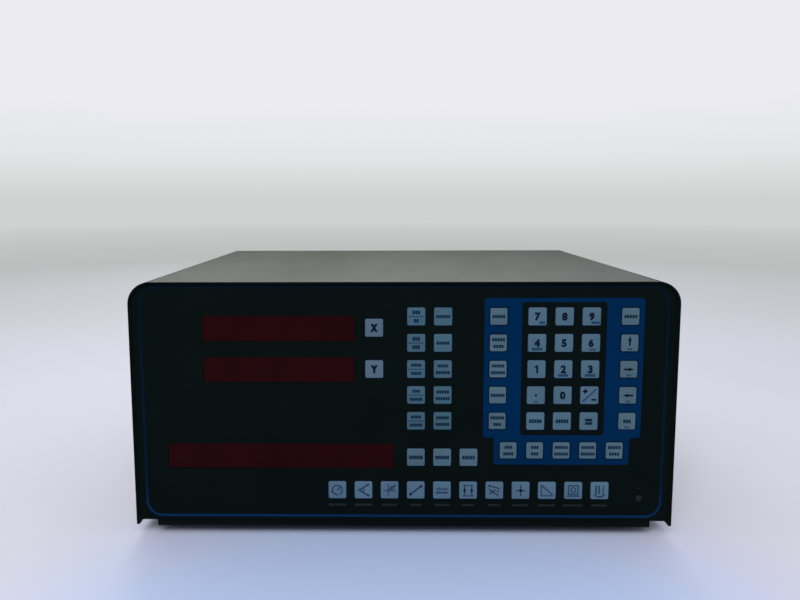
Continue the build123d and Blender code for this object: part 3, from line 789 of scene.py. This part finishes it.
def mode_places():
    """Centres of the mode keys, column by column, and of the option keys, from the node's own box."""
    low, high = millimetres("mode_keys")
    size = high.x - low.x - 2 * key_pitch
    first_x, top_z, option_z = low.x + size / 2, high.z - size / 2, low.z + size / 2
    grid = [(first_x + column * key_pitch, top_z - row * key_pitch)
            for row in range(len(MODE_ROWS)) for column in range(2)]
    options = [(first_x + column * key_pitch, option_z) for column in range(len(OPTION_ROWS))]
    return grid, options, size


def mode_keys():
    low, high = millimetres("mode_keys")
    grid, options, size = mode_places()
    groups = {"mode_print": [(x, z, size) for x, z in grid],
              "side_print": [(x, z, size) for x, z in options]}
    pads("mode_key_pads", groups, low.y, high.y, "console", "mode_keys")
    print_ = Print("mode_key_print", facing_front(low.y), "ink_word", "ink_line")
    for row, (upper, lower, right) in enumerate(MODE_ROWS):
        x, z = grid[2 * row]
        divider = rectangle(x - divider_width / 2, x + divider_width / 2,
                            z - divider_height / 2, z + divider_height / 2)
        print_.fill([divider], "ink_line")
        height = tall_letter if row < tall_mode_rows else letter_height
        rows_of_words(print_, x, z, upper + lower, divided_apart, height)
        rows_of_words(print_, *grid[2 * row + 1], right)
    for (x, z), letters in zip(options, OPTION_ROWS):
        rows_of_words(print_, x, z, [letters], height=tall_letter)
    print_.piece("console", "key_print")


# Feature key symbols, each drawn round the pad's middle

def dots(*places, radius=0.75):
    return [circle(x, z, radius, 12) for x, z in places]


def symbols():
    """Outlines of the eleven symbols, from the left."""
    bold = 1.2
    stroke = 0.95
    thin = 0.75
    clock = [ribbon(arc(0, 0, 3.6, -60, 280, 20), stroke), ribbon([(0, 0), (2.4, 2.4)], stroke)]
    angle = [ribbon([(3.6, 4.3), (-3.2, 0), (3.8, -4.3)], bold), ribbon(arc(-3.2, 0, 3.4, -32, 32), thin)]
    axes = [ribbon([(-4.6, -0.4), (4.6, -0.4)], thin), ribbon([(-1.0, -4.4), (-1.0, 4.4)], thin)]
    line = [ribbon([(-4.0, -3.2), (4.0, 3.2)], bold)] + dots((-3.9, -3.1), (3.9, 3.1), radius=1.1)
    level = [ribbon([(-4.6, -1.8), (4.6, -1.8)], bold)] + dots((-2.1, -0.1), (2.1, -0.1), radius=0.6)
    level += [ribbon(arc(side * 2.1, 0, 1.6, 0, 180), stroke) for side in (-1, 1)]
    gate = [ribbon([(-3.6, 3.8), (3.6, 3.8)], thin), ribbon([(-4.2, -4.2), (4.2, -4.2)], thin)]
    gate += [ribbon([(side * 2.6, 3.4), (side * 2.6, -3.8)], thin) for side in (-1, 1)]
    gate += [[(side * 2.6 - 1.2, 0.0), (side * 2.6, 2.0), (side * 2.6 + 1.2, 0.0), (side * 2.6, -2.0)]
             for side in (-1, 1)]
    skew = [ribbon([(-4.0, 3.6), (4.0, 1.4)], stroke), ribbon([(-4.2, 1.0), (3.0, -4.0)], stroke)]
    skew.append(ribbon([(-3.4, -2.6), (0.8, 0.6)], stroke))
    cross = [ribbon([(-3.4, 0), (3.4, 0)], stroke), ribbon([(0, -4.2), (0, 4.2)], stroke)]
    slope = [ribbon([(-4.0, 4.2), (4.0, -3.2)], stroke)]
    slope.append(ribbon([(-4.2, 4.2), (-4.2, -3.9), (4.4, -3.9)], thin))
    screen = [ribbon([(-3.1, 3.8), (3.4, 3.8), (3.4, -2.6), (-3.1, -2.6)], stroke)]
    screen += [ribbon([(-3.4, 4.15), (-3.4, -2.95)], stroke), ribbon(arc(0, 0.6, 1.7, 0, 355, 16), stroke)]
    screen.append(ribbon([(-4.4, -4.0), (4.4, -4.0)], stroke))
    bars = [ribbon([(px, 4.0), (px, -2.5)], width)
            for px, width in ((-2.6, bold), (-0.4, bold), (2.6, thin))]
    return [
        clock + dots((-4.1, -1.2)),
        angle + dots((3.4, 4.2), (3.6, -4.2)),
        axes + [arrow(1.9, 1.9, 5.8, 218, 1.4, 3.2, 3.2)],
        line,
        level,
        gate,
        skew + dots((2.6, -0.6), (-3.6, 3.4)),
        cross + dots((0, 0), radius=1.1),
        slope,
        screen,
        bars + [ribbon(arc(0, -0.2, 4.4, 215, 325), bold)],
    ]


CAPTIONS = [8, 8, 7, 5, 7, 6, 6, 7, 8, 9, 7]


def feature_keys():
    low, high = millimetres("feature_keys")
    size = high.z - low.z
    z = (low.z + high.z) / 2
    pitch = (high.x - low.x - size) / (len(CAPTIONS) - 1)
    xs = [low.x + size / 2 + column * pitch for column in range(len(CAPTIONS))]
    places = [(x, z, size) for x in xs]
    pads("feature_key_pads", {"icon_print": places}, low.y, high.y, "console", "feature_keys")
    print_ = Print("feature_key_print", facing_front(low.y), "ink_navy")
    for x, shapes in zip(xs, symbols()):
        moved = [[(x + px, z + pz) for px, pz in points] for points in shapes]
        print_.marks(moved, "ink_navy")
    print_.piece("console", "key_print")
    return xs, z, size


def panel_prints(feature_xs, feature_z, feature_size):
    """Border line, blue field, halos and captions on the black film."""
    face = facing_front(millimetres("front_overlay")[0].y)
    sprung = sprung_places().values()
    on_field = [(x, z, size) for x, z, size in sprung if x > field_left and not in_well(x, z)]
    outer = rectangle(-border_half, border_half, border_low, border_high, border_radius, border_steps)
    inner_half = border_half - border_width
    inner = rectangle(-inner_half, inner_half, border_low + border_width, border_high - border_width,
                      border_radius - border_width, border_steps)
    line = Print("border_line_print", face, "line_print")
    line.fill([outer, inner], "line_print")
    line.piece("console", "panel_print")

    left, right = field_left + field_inset, field_right - field_inset
    foot = [(left, field_step), (left, field_low), (right, field_low), (right, field_step)]
    top = [(field_right, field_step), (field_right, field_high)]
    top += [(field_left, field_high), (field_left, field_step)]
    outline = rounded_corners(foot + top, field_corner)
    well = rectangle(well_left, well_right, well_low, well_high, field_corner)
    windows = [square(x, z, size + 2 * halo_width, pad_corner + halo_width) for x, z, size in on_field]
    field = Print("blue_field_print", face, "blue_print")
    field.fill([outline, well] + windows, "blue_print")
    field.piece("console", "panel_print")

    grid, options, mode_size = mode_places()
    on_black = [place for place in sprung if place not in on_field]
    on_black += [(x, z, mode_size) for x, z in grid + options]
    on_black += [(x, feature_z, feature_size) for x in feature_xs]
    halos = Print("halo_print", face, "halo_print", "ring_print")
    for places, ink in ((on_black, "halo_print"), (on_field, "ring_print")):
        for x, z, size in places:
            halos.fill([square(x, z, size + 2 * halo_width, pad_corner + halo_width),
                        square(x, z, size + 2 * halo_gap, pad_corner + halo_gap)], ink)
    halos.piece("console", "panel_print")

    captions = Print("caption_print", face, "caption_print")
    for x, letters in zip(feature_xs, CAPTIONS):
        shapes = word(x, caption_z, letters, caption_pitch, caption_height, caption_share)
        captions.marks(shapes, "caption_print")
    low, high = millimetres("status_light")
    light_x, light_z = (low.x + high.x) / 2, (low.z + high.z) / 2
    mark = circle(light_x + light_mark_x, light_z + light_mark_z, light_mark_radius, 10)
    captions.fill([mark], "caption_print")
    # Painted reflection: a pale ring round the status light, drawn in caption ink on the film
    reflection_ring = [circle(light_x, light_z, radius) for radius in (reflection_ring_outer, reflection_ring_inner)]
    captions.fill(reflection_ring, "caption_print")
    captions.piece("console", "panel_print")


# Status light

def turned(name, profile, steps, finish):
    """Mesh turned about Z from (radius, height) points in millimetres."""
    work = bmesh.new()
    rings = []
    for radius, height in profile:
        points = circle(0, 0, radius, steps) if radius else [(0, 0)]
        rings.append([work.verts.new((x * MM, y * MM, height * MM)) for x, y in points])
    for lower, upper in zip(rings, rings[1:]):
        for index in range(steps):
            pair = index, (index + 1) % steps
            ring = [lower[i % len(lower)] for i in pair] + [upper[i % len(upper)] for i in reversed(pair)]
            corners = list(dict.fromkeys(ring))
            if len(corners) > 2:
                work.faces.new(corners)
    bmesh.ops.recalc_face_normals(work, faces=work.faces)
    mesh = bpy.data.meshes.new(name)
    work.to_mesh(mesh)
    work.free()
    smoothed(mesh)
    return linked(name, mesh, finish)


def status_light():
    low, high = millimetres("status_light")
    flange = (high.x - low.x) / 2
    depth = high.y - low.y
    profile = [(0, 0), (flange, 0), (flange, lens_flange), (lens_radius, lens_flange)]
    profile.append((lens_radius, depth - lens_dome))
    for turn in range(15, 90, 15):
        angle = math.radians(turn)
        profile.append((lens_radius * math.cos(angle), depth - lens_dome + lens_dome * math.sin(angle)))
    profile.append((0, depth))
    lamp = turned("status_light_lens", profile, lens_steps, "light_lens")
    place = Vector(((low.x + high.x) / 2, high.y, (low.z + high.z) / 2)) * MM
    lamp.data.transform(Matrix.Translation(place) @ Matrix.Rotation(math.radians(90), 4, "X"))
    settled(lamp, "console", ["status_light"])


# Details of the rear pieces

def recoloured(piece, finish, wanted):
    """Another finish for the faces that a test picks."""
    piece.data.materials.append(materials[finish])
    for face in piece.data.polygons:
        if wanted(face):
            face.material_index = len(piece.data.materials) - 1


def on_rim(face):
    """Whether a face of the cover looks to the front."""
    return face.normal.y < -least_facing


def on_blade(face):
    """Whether a face of the power inlet belongs to one of its blades."""
    low, high = millimetres("power_inlet")
    middle = (low + high) / 2
    centre = face.center / MM
    aside = min(abs(centre.x - middle.x - place) for place in blade_places)
    return (face.area / MM ** 2 < blade_face_area and centre.y < rear_face_y
            and abs(centre.z - middle.z) < blade_half_height and aside < blade_half_width)


def port_face(print_, x, z, shell, upper_pins):
    """Black insulator in a port's shell, with two rows of contact holes."""
    half, tall = shell / 2 - shell_rim, shell_height / 2 - shell_rim
    taper = 2 * tall * math.tan(math.radians(shell_slope))
    upper = [(x - half, z + tall), (x + half, z + tall)]
    lower = [(x + half - taper, z - tall), (x - half + taper, z - tall)]
    spots = []
    for pins, row_z in ((upper_pins, z + pin_rows_apart / 2), (upper_pins - 1, z - pin_rows_apart / 2)):
        spots += [(x + (index - (pins - 1) / 2) * pin_pitch, row_z) for index in range(pins)]
    holes = [circle(px, pz, pin_hole, 12) for px, pz in spots]
    print_.fill([rounded_corners(list(reversed(upper + lower)), shell_corner)] + holes, "insulator")
    print_.marks([circle(px, pz, pin_radius, 12) for px, pz in spots], "brass")


def port_faces():
    low, high = millimetres("encoder_ports")
    serial_low, serial_high = millimetres("serial_port")
    z = (low.z + high.z) / 2
    half = encoder_shell / 2 + port_flange_overhang
    print_ = Print("port_insulators", facing_rear(rear_face_y + port_face_out), "insulator", "brass")
    port_face(print_, low.x + half, z, encoder_shell, encoder_pins)
    port_face(print_, high.x - half, z, encoder_shell, encoder_pins)
    port_face(print_, (serial_low.x + serial_high.x) / 2, z, serial_shell, serial_pins)
    print_.piece("console", "insulator")


def rocker_marks():
    """On and off marks on the two faces of the rocker, off on the half that is pressed in at rest."""
    faces = [face for face in nodes["power_rocker"].data.polygons if face.normal.y > least_facing]
    low, high = millimetres("power_rocker")
    middle = (low.z + high.z) / 2
    bar = [rectangle(-on_half_width, on_half_width, -on_half_height, on_half_height)]
    ring = [circle(0, 0, off_outer), circle(0, 0, off_inner)]
    for name, side, loops in (("on", 1, bar), ("off", -1, ring)):
        half = [face for face in faces if (face.center.z / MM - middle) * side > 0]
        area = sum(face.area for face in half)
        normal = sum((face.normal * face.area for face in half), Vector()).normalized()
        across = Vector((1, 0, 0))
        place = Matrix((across, normal.cross(across), normal)).transposed().to_4x4()
        centre = sum((face.center * face.area for face in half), Vector()) / area / MM
        place.translation = centre + normal * print_thickness / 2
        print_ = Print("rocker_mark_" + name, place, "white_ink")
        print_.fill(loops, "white_ink")
        print_.piece("power_rocker", "insulator")


def crossed(piece):
    """Cross recesses cut into the heads of the cover screws."""
    low, high = millimetres("cover_screws")
    radius = (high.z - low.z) / 2
    reach, half = screw_cross / 2, screw_slot / 2
    arm = [(half, half), (half, reach), (-half, reach)]
    quarters = (1, 0), (0, 1), (-1, 0), (0, -1)
    outline = [(c * y - s * z, s * y + c * z) for c, s in quarters for y, z in arm]
    work = bmesh.new()
    for side in (-1, 1):
        for y in (low.y + radius, high.y - radius):
            face_x = low.x if side < 0 else high.x
            z = (low.z + high.z) / 2
            rings = [[work.verts.new((face_x + side * out, y + py, z + pz)) for py, pz in outline]
                     for out in (-screw_cross_depth, cutter_proud)]
            for index in range(len(outline)):
                after = (index + 1) % len(outline)
                work.faces.new((rings[0][index], rings[0][after], rings[1][after], rings[1][index]))
            work.faces.new(rings[0])
            work.faces.new(rings[1])
    bmesh.ops.recalc_face_normals(work, faces=work.faces)
    work.transform(Matrix.Scale(MM, 4))
    mesh = bpy.data.meshes.new("cutter")
    work.to_mesh(mesh)
    work.free()
    cutter = linked("cutter", mesh)
    cut = piece.modifiers.new("cross", "BOOLEAN")
    cut.object = cutter
    cut.solver = "EXACT"
    applied(piece)
    bpy.data.objects.remove(cutter)


# Staging

def floor():
    """Pale table top that fades into the background, with a painted bluish shade in front of the case."""
    made, tree, shader = new_material("floor", 0.55, specular=0.2)
    cloth = ramp(tree, noise(tree, 1.5, 2.0), ((0.3, srgb(218, 216, 229)), (0.7, srgb(223, 221, 234))))
    # Painted shade: the floor turns bluish near a place in front of the case
    front_shade_falloff = stretched(tree, distance_from(tree, front_shade_place), front_shade_from, front_shade_to, interpolation="SMOOTHSTEP")
    tree.links.new(mixed(tree, front_shade_falloff, srgb(201, 219, 255), cloth), shader.inputs["Base Color"])
    away = distance_from(tree, (0.0, 0.0, 0.0))
    far = stretched(tree, away, fade_to, floor_radius)
    glow = tree.nodes.new("ShaderNodeEmission")
    backdrop = ramp(tree, far, ((0.0, srgb(187, 190, 189)), (1.0, srgb(204, 208, 206))))
    tree.links.new(backdrop, glow.inputs["Color"])
    blend = tree.nodes.new("ShaderNodeMixShader")
    tree.links.new(stretched(tree, away, fade_from, fade_to), blend.inputs["Fac"])
    tree.links.new(shader.outputs["BSDF"], blend.inputs[1])
    tree.links.new(glow.outputs["Emission"], blend.inputs[2])
    tree.links.new(blend.outputs["Shader"], tree.nodes["Material Output"].inputs["Surface"])
    mesh = bpy.data.meshes.new("floor")
    mesh.materials.append(made)
    work = bmesh.new()
    bmesh.ops.create_circle(work, cap_ends=True, radius=floor_radius, segments=96)
    work.to_mesh(mesh)
    work.free()
    plane = linked("floor", mesh)
    plane.location.z = cad_box[0][2] - floor_gap


def world():
    """Soft light, dimmer from the operator's side, before a near-white background."""
    made = bpy.data.worlds.new("studio")
    made.use_nodes = True
    bpy.context.scene.world = made
    tree = made.node_tree
    background = tree.nodes["Background"]
    outwards = tree.nodes.new("ShaderNodeTexCoord").outputs["Generated"]
    to_rear = stretched(tree, axis_of(tree, outwards, "Y"), -0.6, 0.5)
    up = stretched(tree, axis_of(tree, outwards, "Z"), 0.0, 0.4)
    sky = ramp(tree, up, ((0.0, srgb(206, 210, 208)), (0.15, srgb(226, 229, 229)),
                          (0.34, srgb(236, 235, 242))))
    shades = mixed(tree, to_rear, srgb(150, 152, 160), sky)
    tree.links.new(shades, background.inputs["Color"])
    background.inputs["Strength"].default_value = 1.0


def area_light(name, place, aim, size, power, colour=(1.0, 1.0, 1.0)):
    data = bpy.data.lights.new(name, "AREA")
    data.color = colour
    data.shape = "RECTANGLE"
    data.size, data.size_y = size
    data.energy = power
    lamp = bpy.data.objects.new(name, data)
    lamp.location = place
    lamp.rotation_euler = (Vector(aim) - Vector(place)).to_track_quat("-Z", "Y").to_euler()
    bpy.context.scene.collection.objects.link(lamp)


def camera():
    data = bpy.data.cameras.new("camera")
    data.sensor_width = sensor_width
    data.lens = focal_pixels * sensor_width / image_width
    data.shift_x = (image_width / 2 - principal[0]) / image_width
    data.shift_y = (principal[1] - image_height / 2) / image_width
    made = bpy.data.objects.new("camera", data)
    roll = Matrix.Rotation(math.radians(camera_roll), 3, "Z")
    pitch = Matrix.Rotation(math.radians(camera_pitch), 3, "X")
    yaw = Matrix.Rotation(math.radians(camera_yaw), 3, "Y")
    turn = roll @ pitch @ yaw @ Matrix(((1, 0, 0), (0, 0, -1), (0, 1, 0)))
    right, down, forward = turn
    facing = Matrix((right, -down, -forward)).transposed().to_4x4()
    made.matrix_world = Matrix.Translation(Vector(camera_place) * MM) @ facing
    bpy.context.scene.collection.objects.link(made)
    bpy.context.scene.camera = made


camera()
world()
area_light("front_light", (-0.2, -1.8, 1.9), (0.0, 0.0, 0.1), (1.6, 1.2), 33)
area_light("rear_light", (-0.35, 2.3, 1.7), (-0.05, 0.0, 0.0), (2.0, 0.7), 17.5, (0.86, 1.0, 0.76))
floor()
dress_frame()

soft = {node: softened(node, edge) for node, edge in EDGES.items()}
# Painted shade on the cover's front-facing faces, which take a darker copy of its paint
recoloured(soft["top_cover"], "rim_paint", on_rim)
recoloured(soft["power_inlet"], "port_shell", on_blade)
crossed(soft["cover_screws"])

sprung_keys()
mode_keys()
panel_prints(*feature_keys())
status_light()
port_faces()
rocker_marks()

bpy.context.scene.view_settings.view_transform = "Standard"
